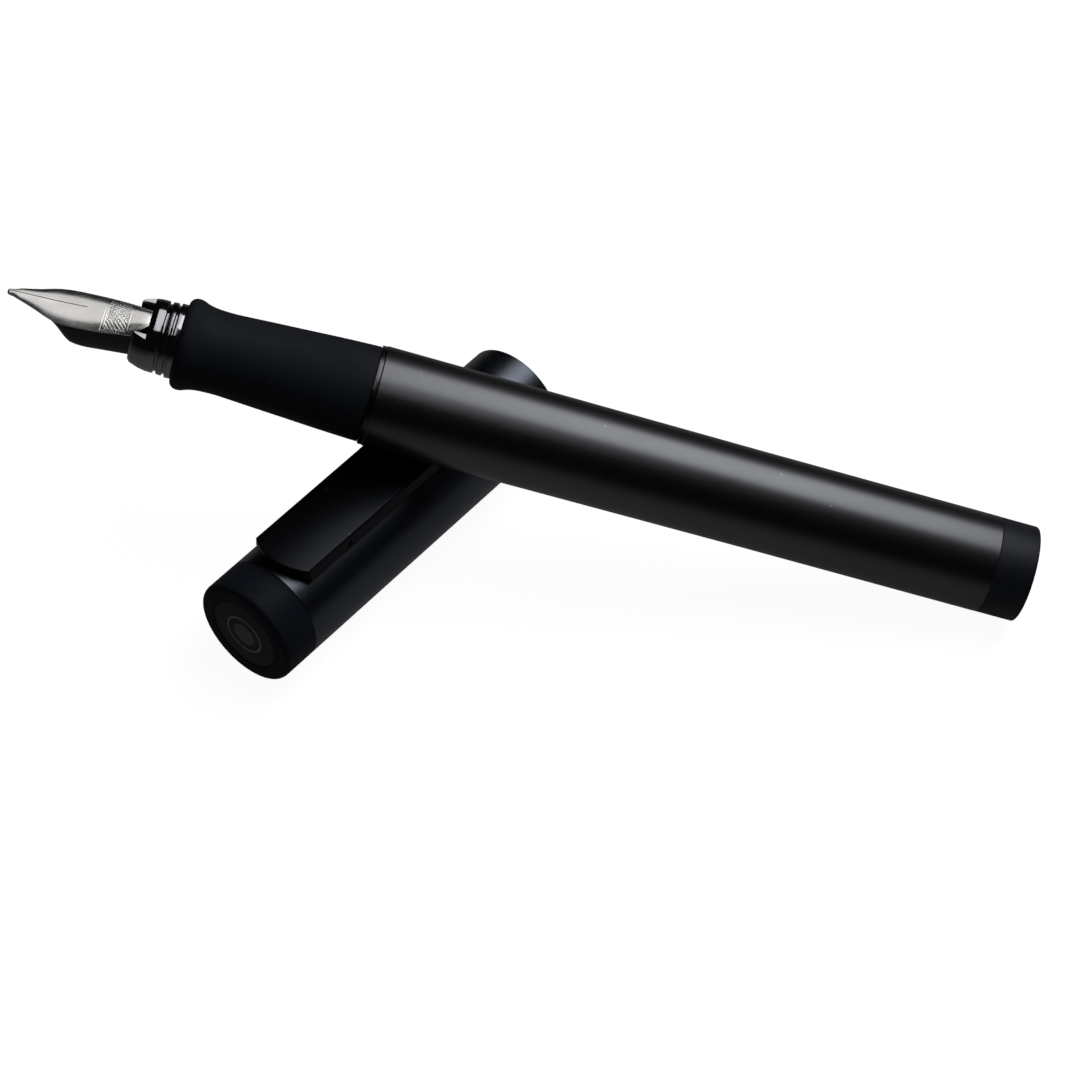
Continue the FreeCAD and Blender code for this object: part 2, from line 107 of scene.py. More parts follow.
def cut_or_join(mesh, other, operation):
    """The mesh after an exact boolean with another mesh."""
    base = bpy.data.objects.new("base", mesh)
    tool = bpy.data.objects.new("tool", other)
    for obj in (base, tool):
        bpy.context.scene.collection.objects.link(obj)
    step = base.modifiers.new("boolean", "BOOLEAN")
    step.operation = operation
    step.solver = "EXACT"
    step.object = tool
    graph = bpy.context.evaluated_depsgraph_get()
    result = bpy.data.meshes.new_from_object(base.evaluated_get(graph))
    bpy.data.objects.remove(base)
    bpy.data.objects.remove(tool)
    return result


def add_piece(name, made, place, body, slot, sharp=32.0, bevel=0.0, finish=None):
    """Puts a shape or a finished mesh on show in place of the CAD node of the same name, on that node's body.

    finish names its material where that isn't the one named after the record's slot.
    """
    mesh = make_mesh(name, made, place) if isinstance(made, tuple) else made
    local = mesh.attributes.new("local", "FLOAT_VECTOR", "POINT")
    back = place.inverted()
    for v in mesh.vertices:
        local.data[v.index].vector = (back @ v.co) / MM
    mesh.shade_smooth()
    mesh.set_sharp_from_angle(angle=math.radians(sharp))
    obj = bpy.data.objects.new(name + "_look", mesh)
    bpy.context.scene.collection.objects.link(obj)
    if bevel:
        step = obj.modifiers.new("bevel", "BEVEL")
        step.width = bevel * MM
        step.segments = 3
        step.limit_method = "ANGLE"
        step.angle_limit = math.radians(sharp)
        step.harden_normals = True
    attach(obj, body)
    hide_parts(name)
    mesh.materials.clear()
    mesh.materials.append(MATERIALS[finish or slot])
    return obj


def soften(points, steps=5):
    """Rounds the corners of a closed outline.  A point is (x, r) or (x, r, corner radius)."""
    result = []
    count = len(points)
    for i, point in enumerate(points):
        here = Vector(point[:2])
        radius = point[2] if len(point) > 2 else 0
        if radius <= 0:
            result.append(here)
            continue
        before = Vector(points[i - 1][:2]) - here
        after = Vector(points[(i + 1) % count][:2]) - here
        half = before.angle(after) / 2
        cut = min(radius / math.tan(half), before.length * 0.49, after.length * 0.49)
        start = here + before.normalized() * cut
        end = here + after.normalized() * cut
        for k in range(steps + 1):
            t = k / steps
            result.append(start * (1 - t) ** 2 + here * 2 * t * (1 - t) + end * t ** 2)
    return result


def lathe(outline, segments=192, shift=None):
    """Closed surface of revolution about X.  shift(x, r, angle) may move a point's radius."""
    verts = []
    faces = []
    rings = []
    for x, r in outline:
        if r < 1e-6:
            rings.append([len(verts)])
            verts.append((x, 0.0, 0.0))
            continue
        ring = []
        for k in range(segments):
            angle = 2 * math.pi * k / segments
            radius = shift(x, r, angle) if shift else r
            ring.append(len(verts))
            verts.append((x, radius * math.sin(angle), radius * math.cos(angle)))
        rings.append(ring)
    for a, b in zip(rings, rings[1:] + rings[:1]):
        if len(a) == 1 and len(b) == 1:
            continue
        for k in range(segments):
            n = (k + 1) % segments
            if len(a) == 1:
                faces.append((a[0], b[k], b[n]))
            elif len(b) == 1:
                faces.append((a[k], b[0], a[n]))
            else:
                faces.append((a[k], b[k], b[n], a[n]))
    return verts, faces


def loft(loops):
    """Closed skin over closed loops of equal length, with a face over each end."""
    count = len(loops[0])
    verts = [p for loop in loops for p in loop]
    faces = []
    for i in range(len(loops) - 1):
        for j in range(count):
            n = (j + 1) % count
            faces.append((i * count + j, i * count + n, (i + 1) * count + n, (i + 1) * count + j))
    last = (len(loops) - 1) * count
    half = count // 2
    for base in (0, last):
        for j in range(half - 1):
            faces.append((base + j, base + j + 1, base + count - 2 - j, base + count - 1 - j))
    return verts, faces


def slab(outline, low, high, axis="y"):
    """Prism from a closed outline in (x, z), spread along Y, or in (x, y), spread along Z."""
    verts = []
    for level in (low, high):
        verts += [(a, level, b) if axis == "y" else (a, b, level) for a, b in outline]
    count = len(outline)
    faces = [tuple(range(count)), tuple(range(2 * count - 1, count - 1, -1))]
    for i in range(count):
        n = (i + 1) % count
        faces.append((i, n, count + n, count + i))
    return verts, faces


def wire(path, radius, sides=12):
    """Round wire along a list of points, with domed ends."""
    points = [Vector(p) for p in path]
    ahead = (points[1] - points[0]).normalized()
    normal = ahead.orthogonal().normalized()
    rings = []
    for i, point in enumerate(points):
        before = points[max(i - 1, 0)]
        after = points[min(i + 1, len(points) - 1)]
        tangent = (after - before).normalized()
        normal = (normal - tangent * normal.dot(tangent)).normalized()
        other = tangent.cross(normal)
        rings.append((point, tangent, normal, other, radius))
    caps = []
    for index, sign in ((0, -1), (-1, 1)):
        point, tangent, normal, other, r = rings[index]
        steps = [(0.5, 0.866), (0.866, 0.5), (0.98, 0.2)]
        caps.append([(point + tangent * sign * r * a, tangent, normal, other, r * b) for a, b in steps])
    rings = caps[0][::-1] + rings + caps[1]
    loops = []
    for point, _, normal, other, r in rings:
        angles = [2 * math.pi * k / sides for k in range(sides)]
        loops.append([tuple(point + (normal * math.cos(a) + other * math.sin(a)) * r) for a in angles])
    return loft(loops)


def curve_through(points, x):
    """Smooth value at x through (x, value) points, with slopes that never overshoot."""
    if x <= points[0][0]:
        return points[0][1]
    if x >= points[-1][0]:
        return points[-1][1]
    i = max(k for k in range(len(points) - 1) if points[k][0] <= x)

    def secant(k):
        return (points[k + 1][1] - points[k][1]) / (points[k + 1][0] - points[k][0])

    def slope(k):
        if k == 0:
            return secant(0)
        if k == len(points) - 1:
            return secant(k - 1)
        a, b = secant(k - 1), secant(k)
        return 0.0 if a * b <= 0 else 2 * a * b / (a + b)

    (x0, y0), (x1, y1) = points[i], points[i + 1]
    h = x1 - x0
    t = (x - x0) / h
    low = y0 * (1 + 2 * t) * (1 - t) ** 2 + slope(i) * h * t * (1 - t) ** 2
    high = y1 * t * t * (3 - 2 * t) + slope(i + 1) * h * t * t * (t - 1)
    return low + high


def spread(start, end, count):
    return [start + (end - start) * k / count for k in range(count + 1)]


ETCHED = (-33.7, -31.0)      # the etched band across the nib, along the pen
DISC_DOT = 1.62              # radius of the dot on the finial's disc
DISC_RING = (2.52, 2.74)     # the ring's two radii


# --- materials ----------------------------------------------------------------------------------------
class Graph:
    """A few short ways to write a shader graph.  Lengths in textures are in millimetres of the local frame."""

    def __init__(self, name):
        self.material = bpy.data.materials.new(name)
        self.material.use_nodes = True
        self.nodes = self.material.node_tree.nodes
        self.links = self.material.node_tree.links
        self.surface = self.nodes["Principled BSDF"]
        self.local = self.node("ShaderNodeAttribute", attribute_name="local").outputs["Vector"]

    def node(self, kind, inputs=None, **settings):
        made = self.nodes.new(kind)
        for key, value in settings.items():
            setattr(made, key, value)
        for key, value in (inputs or {}).items():
            self.feed(made.inputs[key], value)
        return made

    def feed(self, socket, value):
        if isinstance(value, bpy.types.NodeSocket):
            self.links.new(value, socket)
        else:
            socket.default_value = value

    def set(self, **inputs):
        for key, value in inputs.items():
            self.feed(self.surface.inputs[key.replace("_", " ")], value)

    def math(self, operation, *values, clamp=False):
        made = self.node("ShaderNodeMath", operation=operation, use_clamp=clamp)
        for socket, value in zip(made.inputs, values):
            self.feed(socket, value)
        return made.outputs[0]

    def noise(self, scale, detail=4.0, roughness=0.55, stretch=None):
        """Cloudy value.  scale is in features per millimetre; stretch lengthens them along X, Y, Z."""
        vector = self.local
        if stretch:
            tall = [1.0 / s for s in stretch]
            vector = self.node("ShaderNodeMapping", {"Vector": vector, "Scale": tall}).outputs[0]
        inputs = {"Vector": vector, "Scale": scale, "Detail": detail, "Roughness": roughness}
        return self.node("ShaderNodeTexNoise", inputs).outputs[0]

    def specks(self, scale, size, share):
        """1 on scattered dots: scale cells per millimetre, size of a dot in cells, share of cells used."""
        cells = self.node("ShaderNodeTexVoronoi", {"Vector": self.local, "Scale": scale, "Randomness": 1.0})
        used = self.math("LESS_THAN", self.separate(cells.outputs["Color"])[0], share)
        dot = self.math("LESS_THAN", cells.outputs["Distance"], size)
        return self.math("MULTIPLY", used, dot)

    def separate(self, socket):
        return self.node("ShaderNodeSeparateXYZ", {"Vector": socket}).outputs

    def band(self, value, low, high, soft=0.05):
        """1 where low < value < high, with soft shoulders."""
        rise = self.ramp(value, low - soft, low + soft)
        fall = self.ramp(value, high + soft, high - soft)
        return self.math("MULTIPLY", rise, fall)

    def ramp(self, value, start, end, low=0.0, high=1.0):
        inputs = {"Value": value, "From Min": start, "From Max": end, "To Min": low, "To Max": high}
        return self.node("ShaderNodeMapRange", inputs, clamp=True).outputs[0]

    def mix(self, share, a, b):
        """Colour between a and b.  The node's colour sockets are its inputs 6 and 7 and its output 2."""
        made = self.node("ShaderNodeMix", {"Factor": share}, data_type="RGBA")
        self.feed(made.inputs[6], a)
        self.feed(made.inputs[7], b)
        return made.outputs[2]

    def bump(self, height, depth, strength=1.0):
        """Relief: depth is in millimetres."""
        inputs = {"Height": height, "Strength": strength, "Distance": depth * MM}
        normal = self.node("ShaderNodeBump", inputs).outputs[0]
        self.feed(self.surface.inputs["Normal"], normal)


def grey(level, blue=1.0):
    """A grey, or with blue above 1 a cool near-black."""
    return (level, level * (1 + (blue - 1) * 0.3), level * blue, 1.0)


def anodised(name, level, blue, metallic=1.0, rough=0.32, specular=0.5):
    """Satin black anodised aluminium: very fine grain, turning marks round the axis, a few light specks."""
    g = Graph(name)
    grain = g.noise(14.0, 3.0, 0.6)
    cloud = g.noise(0.12, 3.0)
    marks = g.noise(5.0, 2.0, 0.5, stretch=(0.25, 6.0, 6.0))
    dust = g.specks(0.9, 0.055, 0.16)
    base = g.mix(cloud, grey(level * 0.85, blue), grey(level, blue))
    g.set(Base_Color=g.mix(dust, base, grey(0.5)), Metallic=metallic, Specular_IOR_Level=specular)
    if not metallic:
        g.set(Specular_Tint=grey(0.70, blue))
    texture = g.math("ADD", g.math("MULTIPLY", grain, 0.6), g.math("MULTIPLY", marks, 0.4))
    g.set(Roughness=g.ramp(texture, 0.3, 0.7, rough - 0.04, rough + 0.06))
    g.bump(g.math("ADD", grain, g.math("MULTIPLY", marks, 0.5)), 0.004, 0.3)
    return g.material


def plain_plastic(name, colour, rough=0.5, specular=0.35, depth=0.008, grain=6.0):
    """Moulded plastic with a fine spark-eroded grain and a slow drift in gloss."""
    g = Graph(name)
    fine = g.noise(grain, 4.0, 0.6)
    slow = g.noise(0.25, 2.0)
    dust = g.specks(0.8, 0.04, 0.12)
    low = tuple(c * 0.8 for c in colour[:3]) + (1.0,)
    base = g.mix(slow, low, colour)
    g.set(Base_Color=g.mix(dust, base, grey(0.16)), Specular_IOR_Level=specular)
    g.set(Roughness=g.ramp(slow, 0.3, 0.7, rough - 0.05, rough + 0.06))
    g.bump(fine, depth, 0.5)
    return g.material


def rubber(name):
    """Soft matt grip with a fine tooth, lint and faint handling marks."""
    g = Graph(name)
    tooth = g.noise(9.0, 5.0, 0.65)
    wear = g.noise(0.22, 4.0, 0.6)
    lint = g.specks(1.1, 0.05, 0.14)
    base = g.mix(wear, grey(0.0125, 1.70), grey(0.0187, 1.70))
    g.set(Base_Color=g.mix(lint, base, grey(0.30)), Specular_IOR_Level=0.22)
    g.set(Roughness=g.ramp(wear, 0.3, 0.7, 0.62, 0.78))
    g.bump(tooth, 0.02, 0.6)
    return g.material


def disc_print(name):
    """The finial's inlaid disc: matt black, with a plain ring and dot in grey ink."""
    g = Graph(name)
    fine = g.noise(7.0, 4.0)
    _, y, z = g.separate(g.local)
    radius = g.math("SQRT", g.math("ADD", g.math("MULTIPLY", y, y), g.math("MULTIPLY", z, z)))
    ring = g.band(radius, DISC_RING[0], DISC_RING[1], 0.03)
    dot = g.band(radius, -1.0, DISC_DOT, 0.03)
    base = g.mix(fine, grey(0.012, 1.25), grey(0.019, 1.35))
    inked = g.mix(dot, base, grey(0.16))
    g.set(Base_Color=g.mix(ring, inked, grey(0.42)), Specular_IOR_Level=0.3)
    g.set(Roughness=g.ramp(fine, 0.3, 0.7, 0.48, 0.6))
    g.bump(g.math("ADD", g.math("MULTIPLY", fine, 0.3), g.math("ADD", ring, dot)), 0.02, 0.5)
    return g.material


def steel(name):
    """Polished stainless steel with faint lengthwise brushing, smudges and a matt etched band across it."""
    g = Graph(name)
    colour = (0.66, 0.645, 0.63, 1.0)
    rough = 0.17
    brush = 0.06
    hair = g.noise(16.0, 3.0, 0.5, stretch=(12.0, 1.0, 1.0))
    smudge = g.noise(0.5, 3.0)
    across = g.band(g.separate(g.local)[0], ETCHED[0], ETCHED[1], 0.06)
    cells = g.node("ShaderNodeTexVoronoi", {"Vector": g.local, "Scale": 3.4, "Randomness": 0.5})
    pitted = g.math("MULTIPLY", across, g.ramp(cells.outputs["Distance"], 0.42, 0.30))
    dark = tuple(c * 0.82 for c in colour[:3]) + (1.0,)
    g.set(Base_Color=g.mix(pitted, g.mix(smudge, dark, colour), grey(0.30)), Metallic=1.0)
    polish = g.math("ADD", g.ramp(smudge, 0.3, 0.7, rough, rough + 0.06), g.math("MULTIPLY", hair, brush))
    g.set(Roughness=g.math("ADD", polish, g.math("MULTIPLY", pitted, 0.25)))
    g.bump(g.math("SUBTRACT", g.math("MULTIPLY", hair, 0.2), pitted), 0.02, 0.5)
    return g.material


def dark_chrome(name):
    """Mirror-bright dark plating with a blue cast, faint swirl marks and a fingerprint haze."""
    g = Graph(name)
    haze = g.noise(0.6, 4.0, 0.6)
    swirl = g.noise(4.0, 3.0, 0.5, stretch=(0.3, 3.0, 3.0))
    g.set(Base_Color=g.mix(haze, (0.27, 0.27, 0.29, 1.0), (0.34, 0.335, 0.345, 1.0)), Metallic=1.0)
    g.set(Roughness=g.ramp(haze, 0.3, 0.7, 0.07, 0.14))
    g.bump(swirl, 0.006, 0.3)
    return g.material


def clear_moulding(name, colour, clear, rough, ior):
    """Glossy moulding that lets the share 'clear' of the light through."""
    g = Graph(name)
    slow = g.noise(0.4, 2.0)
    fine = g.noise(3.0, 3.0)
    low = tuple(c * 0.85 for c in colour[:3]) + (1.0,)
    g.set(Base_Color=g.mix(slow, low, colour), IOR=ior, Transmission_Weight=clear)
    g.set(Roughness=g.ramp(fine, 0.3, 0.7, rough, rough + 0.05), Coat_Weight=0.4, Coat_Roughness=0.05)
    g.bump(slow, 0.02, 0.25)
    return g.material


def turned_metal(name, colour, rough=0.3):
    """Lathe-turned metal: tight rings round the axis."""
    g = Graph(name)
    rings = g.noise(9.0, 2.0, 0.5, stretch=(0.4, 20.0, 20.0))
    tarnish = g.noise(0.35, 4.0)
    dark = tuple(c * 0.7 for c in colour[:3]) + (1.0,)
    g.set(Base_Color=g.mix(tarnish, dark, colour), Metallic=1.0)
    g.set(Roughness=g.ramp(rings, 0.3, 0.7, rough - 0.06, rough + 0.1))
    g.bump(rings, 0.008, 0.4)
    return g.material


MATERIALS = {
    "black_anodised": anodised("black_anodised", 0.14, 1.10),
    "cap_anodised": anodised("cap_anodised", 0.105, 1.36),
    "clip_black": anodised("clip_black", 0.004, 1.33, 0.0, 0.36, 0.25),
    "black_plastic": plain_plastic("black_plastic", (0.0195, 0.0235, 0.036, 1.0), 0.46, 0.30),
    "finial_plastic": plain_plastic("finial_plastic", (0.0125, 0.016, 0.026, 1.0), 0.56, 0.10),
    "disc_black": disc_print("disc_black"),
    "liner_plastic": plain_plastic("liner_plastic", (0.02, 0.02, 0.022, 1.0), 0.38),
    "grip_rubber": rubber("grip_rubber"),
    "nib_steel": steel("nib_steel"),
    "ring_steel": turned_metal("ring_steel", (0.10, 0.10, 0.105, 1.0), 0.24),
    "smoky_gloss": dark_chrome("smoky_gloss"),
    "feed_plastic": plain_plastic("feed_plastic", (0.035, 0.020, 0.014, 1.0), 0.36, 0.30, 0.004),
    "core_plastic": plain_plastic("core_plastic", (0.014, 0.014, 0.015, 1.0), 0.36),
    "sleeve_brass": turned_metal("sleeve_brass", (0.72, 0.50, 0.20, 1.0), 0.28),
    "clear_plastic": clear_moulding("clear_plastic", (0.93, 0.95, 0.96, 1.0), 0.92, 0.03, 1.49),
    "converter_metal": turned_metal("converter_metal", (0.66, 0.66, 0.65, 1.0), 0.18),
    "knob_plastic": plain_plastic("knob_plastic", (0.016, 0.016, 0.017, 1.0), 0.34),
    "rod_plastic": plain_plastic("rod_plastic", (0.55, 0.55, 0.53, 1.0), 0.32, 0.5),
    "seal_plastic": plain_plastic("seal_plastic", (0.42, 0.43, 0.44, 1.0), 0.4, 0.45),
    "pin_black": turned_metal("pin_black", (0.02, 0.02, 0.021, 1.0), 0.34),
    "spring_steel": turned_metal("spring_steel", (0.55, 0.55, 0.54, 1.0), 0.22),
}


# --- cap ----------------------------------------------------------------------------------------------
def build_cap_tube():
    start, end, outer = reach("cap_tube", CAP)
    bore = MOUNTS["cap_mouth"]["dims"]["r_mm"]
    depth = MOUNTS["cap_mouth"]["dims"]["length_mm"]
    liner_bore = bore - 0.22
    window_x = 2.5
    window_y = 2.6
    tube = lathe(soften([
        (start, liner_bore, 0.05),
        (end - depth, liner_bore),
        (end - depth, bore),
        (end, bore, 0.12),
        (end, outer, 0.16),
        (start, outer, 0.12),
    ]))
    window = slab([
        (HINGE.x - window_x, -window_y),
        (HINGE.x + window_x, -window_y),
        (HINGE.x + window_x, window_y),
        (HINGE.x - window_x, window_y),
    ], 0, outer + 1, "z")
    mesh = cut_or_join(make_mesh("cap_tube", tube, CAP), make_mesh("window", window, CAP), "DIFFERENCE")
    add_piece("cap_tube", mesh, CAP, "cap", "black_anodised", finish="cap_anodised")


def build_finial():
    start, end, outer = reach("cap_finial", CAP)
    seam = reach("cap_tube", CAP)[0] - 0.02
    inner = 5.76
    disc = 4.9
    spigot = outer - 0.94
    shape = lathe(soften([
        (end, inner),
        (end, spigot, 0.2),
        (seam, spigot),
        (seam, outer, 0.12),
        (start + 0.12, outer, 0.75),
        (start, disc + 0.12, 0.05),
        (start + 0.1, disc, 0.05),
        (start + 0.8, disc),
        (start + 0.8, 0),
        (start + 1.9, 0),
        (start + 1.9, inner),
    ], 7))
    add_piece("cap_finial", shape, CAP, "cap", "black_plastic", finish="finial_plastic")


def build_finial_disc():
    start, end, outer = reach("finial_disc", CAP)
    proud = 0.02
    shape = lathe(soften([
        (end, 0),
        (start, 0),
        (start, 1.58, 0.03),
        (start + proud, 1.64, 0.02),
        (start + proud, 2.50, 0.02),
        (start, 2.54, 0.02),
        (start, 2.72, 0.02),
        (start + proud, 2.76, 0.02),
        (start + proud, outer, 0.08),
        (end, outer, 0.1),
    ], 3))
    add_piece("finial_disc", shape, CAP, "cap", "disc_black", 25.0)


def build_inner_cap():
    start, end, outer = reach("inner_cap", CAP)
    flange = end - 6.4
    bore = 5.0
    tube = 5.74
    ribs = 8

    def ribbed(x, r, angle):
        """The liner's tube carries shallow lengthwise ribs behind its flange."""
        if r > outer - 0.3 or r < outer - 0.8:
            return r
        return r - 0.12 * (0.5 - 0.5 * math.cos(ribs * angle)) ** 4

    shape = lathe(soften([
        (start, 0),
        (start + 0.8, 0),
        (start + 0.8, bore, 0.3),
        (end - 0.5, bore, 0.2),
        (end, bore + 0.5, 0.1),
        (end, outer, 0.1),
        (flange, outer, 0.1),
        (flange, tube, 0.1),
        (start, tube, 0.3),
    ]), 192, ribbed)
    add_piece("inner_cap", shape, CAP, "cap", "liner_plastic")


# --- clip ---------------------------------------------------------------------------------------------
CLIP_EDGE = (4.57, 6.62)         # y and z of the lower edge
CLIP_SHOULDER = (4.28, 8.22)     # y and z where the side meets the top
CLIP_CROWN = 8.75
CLIP_PLATE = 0.70                # thickness of the top
CLIP_SKIRT = 0.65                # thickness of the sides


def clip_outer():
    """Outer half profile of the clip from its crown to its lower edge, as pairs of point and normal."""
    shoulder = Vector(CLIP_SHOULDER)
    edge = Vector(CLIP_EDGE)
    crown = [Vector((y, CLIP_CROWN - (CLIP_CROWN - shoulder.y) * (y / shoulder.x) ** 2))
             for y in spread(0, shoulder.x, 14)]
    corner = soften([tuple(crown[-3]), (shoulder.x, shoulder.y, 0.42), tuple(edge)], 8)
    points = crown[:-3] + corner[:-1] + [edge.lerp(shoulder, 0.03), edge - Vector((0.10, 0.0))]
    result = []
    for i, p in enumerate(points):
        a = points[max(i - 1, 0)]
        b = points[min(i + 1, len(points) - 1)]
        step = (b - a).normalized()
        normal = Vector((-step.y, step.x)) if i else Vector((0, 1))
        result.append((p, normal))
    return result


def on_hinge(shape):
    """A turned shape moved from X to the axis of the clip's hinge."""
    verts, faces = shape
    return [(HINGE.x + z, x, HINGE.z + y) for x, y, z in verts], faces


def build_clip():
    start, end, _ = reach("clip", CAP)
    outer = clip_outer()
    half_width = 4.67
    wall = 2.0
    arch = 7.83
    rim = 0.14
    hip = CLIP_SHOULDER[1] - 0.25

    def side_end(y):
        return start + 1.9 * (y / half_width) ** 2

    def far_end(y):
        return end - 3.4 * (abs(y) / half_width) ** 2.2

    def inner_point(point, solid):
        """Where the inner skin lies under an outer point: the wall's arched lower edge, or the channel."""
        share = point.x / CLIP_EDGE[0]
        if solid:
            return Vector((share * (CLIP_EDGE[0] - 0.12), arch - (arch - CLIP_EDGE[1]) * share ** 2))
        inner_shoulder = CLIP_SHOULDER[0] - CLIP_SKIRT
        top = CLIP_SHOULDER[1] - CLIP_PLATE
        if point.y > hip:
            inner_y = min(point.x * inner_shoulder / CLIP_SHOULDER[0], CLIP_EDGE[0] - CLIP_SKIRT)
            under_crown = CLIP_CROWN - CLIP_PLATE - 0.8 * (CLIP_CROWN - point.y)
            return Vector((inner_y, max(top, under_crown)))
        down = (hip - point.y) / (hip - CLIP_EDGE[1])
        return Vector((inner_shoulder + 0.25 * down, top + (CLIP_EDGE[1] - top) * down))

    def loop(s, shrink, solid, from_end):
        """Section that follows the clip's curved end at a distance s from it."""
        right = []
        inner = []
        for point, normal in outer:
            moved = point - normal * shrink
            under = inner_point(point, solid)
            x = far_end(point.x) - s if from_end else side_end(point.x) + s
            right.append((x, moved.x, moved.y))
            inner.append((x, under.x, min(under.y, moved.y - 0.05)))
        left = [(x, -y, z) for x, y, z in right[1:]][::-1]
        left_inner = [(x, -y, z) for x, y, z in inner[1:]][::-1]
        return left + right + inner[::-1] + left_inner[::-1]

    angles = spread(0, math.pi / 2, 5)
    rounding = [(rim * (1 - math.cos(a)), rim * (1 - math.sin(a))) for a in angles]
    rows = [(s, shrink, True, False) for s, shrink in rounding]
    rows += [(s, 0.0, True, False) for s in (0.3, 0.6, 1.0, 1.5, wall - 0.01)]
    rows += [(s, 0.0, False, False) for s in (wall, 3.0, 6.0, 10.0, 15.0, 20.0, 25.0)]
    rows += [(s, 0.0, False, True) for s in (6.0, 4.0, 2.5, 1.2, 0.5)]
    rows += [(s, shrink, False, True) for s, shrink in rounding[::-1]]
    shape = loft([loop(*row) for row in rows])
    mesh = make_mesh("clip", shape, CAP)
    foot_x = end - 2.6
    foot_radius = 1.2
    foot_low = 7.15
    foot_high = 8.35
    foot = lathe(soften([
        (foot_low, 0),
        (foot_low, foot_radius, 0.5),
        (foot_high, foot_radius),
        (foot_high, 0),
    ]), 48)
    foot = ([(foot_x + z, y, x) for x, y, z in foot[0]], foot[1])
    mesh = cut_or_join(mesh, make_mesh("foot", foot, CAP), "UNION")
    hole = on_hinge(lathe([(-5, 0), (-5, 0.45), (5, 0.45), (5, 0)], 48))
    mesh = cut_or_join(mesh, make_mesh("pin_hole", hole, CAP), "DIFFERENCE")
    add_piece("clip", mesh, CAP, "clip", "clip_black", 28.0)


def build_bracket():
    start, end, _ = reach("clip_bracket", CAP)
    low = 5.78
    high = 6.18
    loops = []
    for angle in spread(math.radians(-30), math.radians(30), 24):
        ring = soften([(start, low, 0.08), (end, low, 0.08), (end, high, 0.1), (start, high, 0.1)], 3)
        loops.append([(x, r * math.sin(angle), r * math.cos(angle)) for x, r in ring])
    saddle = loft(loops)
    lug = [(HINGE.x - 1.5, low + 0.2), (HINGE.x + 1.5, low + 0.2)]
    for a in spread(-0.15, math.pi + 0.15, 16):
        lug.append((HINGE.x + 0.65 * math.cos(a), HINGE.z + 0.65 * math.sin(a)))
    lug_mesh = make_mesh("lug", slab(lug, -1.2, 1.2), CAP)
    mesh = cut_or_join(make_mesh("clip_bracket", saddle, CAP), lug_mesh, "UNION")
    hole = on_hinge(lathe([(-2, 0), (-2, 0.41), (2, 0.41), (2, 0)], 48))
    mesh = cut_or_join(mesh, make_mesh("lug_hole", hole, CAP), "DIFFERENCE")
    add_piece("clip_bracket", mesh, CAP, "cap", "spring_steel")


def build_pin():
    half = 4.36
    radius = 0.40
    pin = on_hinge(lathe(soften([
        (-half, 0),
        (-half, radius, 0.12),
        (half, radius, 0.12),
        (half, 0),
    ]), 48))
    add_piece("clip_pin", pin, CAP, "cap", "spring_steel", finish="pin_black")


def build_spring():
    """Coil round the pin, with a leg under the clip's short end and a leg on the saddle."""
    radius = 0.53
    pitch = 0.26
    turns = 3.5
    steps = 28
    first = 1.32
    leg = 2.0
    path = []
    for k in spread(0, 1, 12)[:-1]:
        path.append((HINGE.x - leg * (1 - k), first, HINGE.z + radius - 0.22 * (1 - k)))
    for k in range(int(turns * steps) + 1):
        angle = 2 * math.pi * k / steps
        y = first + pitch * k / steps
        path.append((HINGE.x + radius * math.sin(angle), y, HINGE.z + radius * math.cos(angle)))
    last = path[-1]
    for k in spread(0, 1, 12)[1:]:
        path.append((last[0] - leg * k, last[1], last[2] - 0.42 * k))
    add_piece("clip_spring", wire(path, 0.10), CAP, "cap", "spring_steel", 60.0)


# --- barrel -------------------------------------------------------------------------------------------
THREAD_PITCH = 1.2


def thread(x, angle):
    """0 at the root and 1 at the crest of a right-handed thread about X."""
    turn = (x / THREAD_PITCH + angle / (2 * math.pi)) % 1.0
    return min(1.0, max(0.0, 2.2 * (0.5 - abs(turn - 0.5))))


def build_barrel():
    start, end, front = reach("barrel_tube", PEN)
    tail = 6.07
    land = 30.0
    bore = 5.45
    shape = lathe(soften([
        (start, bore, 0.08),
        (start, front, 0.12),
        (end - land, tail, 6.0),
        (end, tail, 0.09),
        (end, bore, 0.05),
    ], 8), 256)
    add_piece("barrel_tube", shape, PEN, "barrel", "black_anodised")


def build_sleeve():
    start, end, outer = reach("thread_sleeve", PEN)
    crest = 4.32
    depth = 0.35
    inside = [(x, crest) for x in spread(end - 0.3, start + 0.3, 70)]
    outline = [(start, crest + depth + 0.1), (start, outer - 0.15), (start + 0.15, outer)]
    outline += [(end - 0.15, outer), (end, outer - 0.15), (end, crest + depth + 0.1)] + inside

    def groove(x, r, angle):
        if r > crest + 0.01:
            return r
        return crest + depth * (1 - thread(x + THREAD_PITCH / 2, angle))

    shape = lathe(outline, 96, groove)
    add_piece("thread_sleeve", shape, PEN, "barrel", "sleeve_brass", 40.0)


def build_plug():
    start, end, outer = reach("end_plug", PEN)
    seam = reach("barrel_tube", PEN)[1] + 0.02
    spigot = 5.43
    hollow = 4.3
    floor = end - 2.2
    dome_radius = 35.0
    edge = 5.55
    dome = [(end - dome_radius + math.sqrt(dome_radius ** 2 - r * r), r) for r in spread(edge, 0, 10)]
    shape = lathe(soften([
        (start, hollow),
        (start, spigot, 0.3),
        (seam, spigot),
        (seam, outer, 0.06),
        (end - 0.45, outer, 0.42),
    ] + dome + [
        (floor, 0),
        (floor, hollow, 0.5),
    ]), 192)
    add_piece("end_plug", shape, PEN, "barrel", "black_plastic", 25.0)


